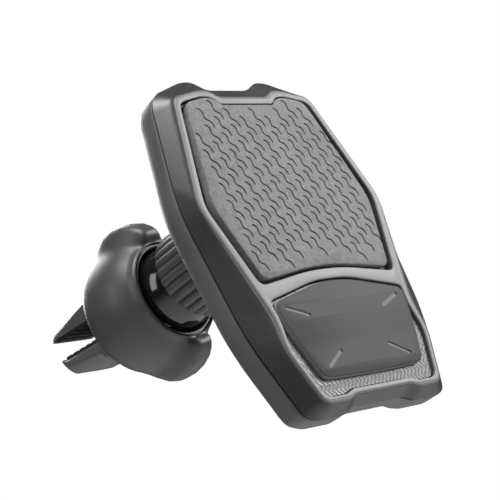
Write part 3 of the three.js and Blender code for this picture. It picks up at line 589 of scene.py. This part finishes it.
# ---- Magnets
# Six round magnets with a bright nickel plate.
def plated(name, colour, scale, detail, relief, smoothest, spread):
    """Plated steel, brushed or rolled underneath, so that its sheen varies along the grain."""
    made = Finish(name)
    grain = made.noise(scale, detail)
    return made.surface(colour=colour, metal=1.0, roughness=grain * spread + smoothest,
                        normal=made.bump(grain, relief, 0.0001))


nickel_plate = plated("nickel", (0.62, 0.61, 0.6), 1800.0, 3.0, 0.1, 0.15, 0.2)
repaint(nickel_plate, *(f"magnet_{i}" for i in range(1, 7)))

# ---- Magnet holder and yoke plate
# A black moulding holds the magnets; a pressed steel plate with zinc on it closes their field behind.
zinc_plate = plated("zinc", (0.5, 0.5, 0.51), 700.0, 4.0, 0.15, 0.25, 0.3)
repaint(carrier_plastic, "magnet_holder")
repaint(zinc_plate, "yoke_plate")

# ---- Split socket
# Glossy black moulding: a flange and four fingers that hold the ball, closed in round lips that fill
# the knob's mouth. Three zinc-plated screws hold the flange to the cover.
LIP_BALL = 10.9
LIP_SKIN = 0.65
LIP_REACH = (1.2, 0.8, 0.0, -1.2, -2.4, -3.6, -4.8, -6.0, -7.0, -7.8)


def softened(node, voxel, rounds):
    """A copy of a CAD piece with its edges rounded, as a moulding has them."""
    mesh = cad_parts[node].data.copy()
    mesh.materials.clear()
    piece = bpy.data.objects.new(node + "_moulding", mesh)
    bpy.context.scene.collection.objects.link(piece)
    modify(piece, "REMESH", mode="VOXEL", voxel_size=voxel * MM)
    modify(piece, "SMOOTH", factor=0.5, iterations=rounds)
    return smooth(piece, 60)


gloss = Finish("gloss_black")
haze = gloss.noise(120.0, 3.0)
gloss_black = gloss.surface(colour=(0.006, 0.006, 0.007), roughness=haze * 0.1 + 0.08, coat=0.5,
                            coat_roughness=0.05, normal=gloss.bump(haze, 0.02, 0.0001))
finish_piece(softened("split_socket", 0.3, 4), gloss_black, "head", "gloss_black", "split_socket")
lips = Build()
outer_lip = [(sqrt(LIP_BALL ** 2 - y * y), y) for y in LIP_REACH]
inner_lip = [(sqrt((LIP_BALL - LIP_SKIN) ** 2 - y * y), y) for y in reversed(LIP_REACH)]
lips.turned(outer_lip + inner_lip)
finish_piece(lips.object("socket_lips", 50), gloss_black, "head", "gloss_black")
repaint(zinc_plate, "socket_screw_1", "socket_screw_2", "socket_screw_3")

# ---- Seat shims
# Two thin caps between ball and socket: a slippery white inner one and a black rubber outer one.
acetal = moulded("acetal", (0.6, 0.6, 0.58), 0.15, 0.4)
black_rubber = moulded("black_rubber", (0.012, 0.012, 0.012), 0.4, 0.75)
repaint(acetal, "inner_seat_shim")
repaint(black_rubber, "outer_seat_shim")

# ---- Ring nut
# Turned by hand to tighten the ball: a matte moulded collar with 28 rounded ribs and a plain
# chamfered rear. Each row below is [y from the ball, radius on a rib, radius between ribs].
RIBS = 28
RIB_STEPS = 10
NUT_FRONT, NUT_REAR = -20.4, -6.4
NUT_ROWS = [(NUT_FRONT, 10.65, 10.65), (NUT_FRONT, 11.2, 11.2), (NUT_FRONT + 0.15, 11.6, 11.55),
            (NUT_FRONT + 0.9, 11.78, 11.7), (NUT_FRONT + 1.3, 11.8, 11.2), (NUT_FRONT + 1.8, 11.8, 11.0),
            (-10.0, 11.8, 11.0), (NUT_REAR - 1.2, 11.8, 11.0), (NUT_REAR - 0.7, 11.6, 10.9),
            (NUT_REAR - 0.2, 11.2, 10.75), (NUT_REAR, 10.8, 10.5), (NUT_REAR, 10.25, 10.25),
            (NUT_REAR - 0.9, 10.62, 10.62)]
nut = Build()


def ribbed(y, crest, root):
    ring = []
    for i in range(RIBS * RIB_STEPS):
        angle = 2 * pi * i / (RIBS * RIB_STEPS)
        wave = abs(sin(angle * RIBS / 2.0)) ** 0.55
        r = root + (crest - root) * wave
        ring.append((BALL.x + r * cos(angle), BALL.y + y, BALL.z + r * sin(angle)))
    return nut.loop(ring)


nut.walls([ribbed(*row) for row in NUT_ROWS])
ring_plastic = moulded("ring_plastic", (0.07, 0.07, 0.073), 0.5, 0.5)
finish_piece(nut.object("ring_nut_ribbed", 50), ring_plastic, "nut", "ring_plastic", "ring_nut")

# ---- Ball stud
# A polished black 17 mm ball on a short neck, screwed into the clip core.
BALL_R = 8.47
BALL_STEP, BALL_STEPS = 3, 50
BALL_NECK = [(3.9, 7.6), (3.68, 7.9), (3.66, 8.3)]
ball = Build()
angles = [radians(BALL_STEP * k) for k in range(1, BALL_STEPS + 1)]
ball_curve = [(0.0, -BALL_R)] + [(BALL_R * sin(a), -BALL_R * cos(a)) for a in angles]
ball.turned(ball_curve + BALL_NECK, 128)
finish_piece(ball.object("ball", 60, tipped=False), gloss_black, "clip", "gloss_black", "ball_stud")

# ---- Clip core
# A black moulded shank and tongue behind the ball, with two steel pins that the jaws swing on.
repaint(carrier_plastic, "clip_core")
repaint(zinc_plate, "upper_jaw_pin", "lower_jaw_pin")

# ---- Knob
# A satin moulded bowl round the ball, with a rolled mouth and two wings for the fingers. Turning it
# drives the thrust ring along the jaws and closes them. Sections are [radius, y from the ball].
MOUTH, CREST, WING = -0.4, 21.2, -1.6
WING_CLOCK = 99
WING_HALF = 15.5
KNOB_SIDES = 240
bore = [(11.75, 8.6), (11.75, 4.0), (11.75, 0.6), (11.85, 0.1), (12.1, -0.1), (12.4, -0.05), (12.5, 0.6),
        (12.72, 0.6), (12.8, -0.1), (13.0, MOUTH), (13.3, MOUTH + 0.1)]
plain_side = [(13.68, 0.4), (13.78, 1.3), (14.3, 2.1), (15.2, 3.5), (16.0, 5.3), (16.55, 7.4), (16.9, 9.8),
              (17.0, 12.2), (16.95, 14.2), (16.6, 16.0), (15.9, 17.4), (15.2, 18.1), (14.5, 18.55)]
crest_side = [(13.8, -0.75), (15.0, WING), (16.4, -1.25), (17.6, -0.35), (19.2, 1.6), (20.5, 4.6),
              (CREST, 7.8), (CREST, 10.6), (20.4, 12.8), (18.8, 14.9), (17.0, 16.4), (15.5, 17.8),
              (14.5, 18.55)]
tail = [(13.6, 18.7), (12.6, 18.7), (12.15, 18.4), (12.1, 16.0), (12.1, 11.0), (7.3, 11.0), (7.3, 8.6)]
knob = Build()
rings = []
for i in range(KNOB_SIDES):
    angle = 2 * pi * i / KNOB_SIDES
    away = abs((degrees(angle) - WING_CLOCK + 90) % 180 - 90)
    share = 1.0 / (1.0 + (away / WING_HALF) ** 5)
    side = [(r + (cr - r) * share, y + (cy - y) * share)
            for (r, y), (cr, cy) in zip(plain_side, crest_side)]
    section = bore + side + tail
    rings.append(knob.loop([(r * cos(angle), BALL.y + y, r * sin(angle)) for r, y in section]))
knob.walls(rings + rings[:1])
knob_plastic = moulded("knob_plastic", (0.06, 0.06, 0.063), 0.3, 0.42)
knob_piece = knob.object("knob_moulding", 60, tipped=False)
finish_piece(knob_piece, knob_plastic, "knob_body", "knob_plastic", "knob")

# ---- Thrust ring and knob insert
# A white acetal ring that pushes on the jaws, and a blackened steel bush in the middle of the knob.
repaint(acetal, "thrust_ring")
repaint(oxide, "knob_insert")

# ---- Jaws
# Two nylon jaws hinged on steel pins in the core. Ribbed black rubber faces grip the louvre.
nylon = moulded("jaw_nylon", (0.085, 0.085, 0.088), 0.35, 0.45)
for side in ("upper", "lower"):
    jaw_piece = softened(f"{side}_jaw", 0.3, 8)
    finish_piece(jaw_piece, nylon, f"{side}_jaw_body", "jaw_plastic", f"{side}_jaw")
    repaint(black_rubber, f"{side}_jaw_pad")

# ---- Jaw spring
# Four turns of zinc-plated spring wire, upright between the jaws, that pushes them apart.
TURNS = 4
WIRE_R = 0.35
COIL_R = 1.85
COIL_HALF = 3.8
COIL_Y = BALL.y + 21.4
TURN_STEPS = 24
curve = bpy.data.curves.new("jaw_spring_wire", "CURVE")
curve.dimensions = "3D"
curve.bevel_depth = WIRE_R * MM
curve.bevel_resolution = 4
line = curve.splines.new("POLY")
line.points.add(TURNS * TURN_STEPS)
for i, point in enumerate(line.points):
    t = i / (TURNS * TURN_STEPS)
    angle = 2 * pi * TURNS * t
    x, y, z = COIL_R * cos(angle), COIL_Y + COIL_R * sin(angle), (2 * t - 1) * COIL_HALF
    point.co = (x * MM, y * MM, z * MM, 1)
spring = bpy.data.objects.new("jaw_spring_wire", curve)
bpy.context.scene.collection.objects.link(spring)
finish_piece(spring, zinc_plate, "clip", "plate_steel", "jaw_spring")
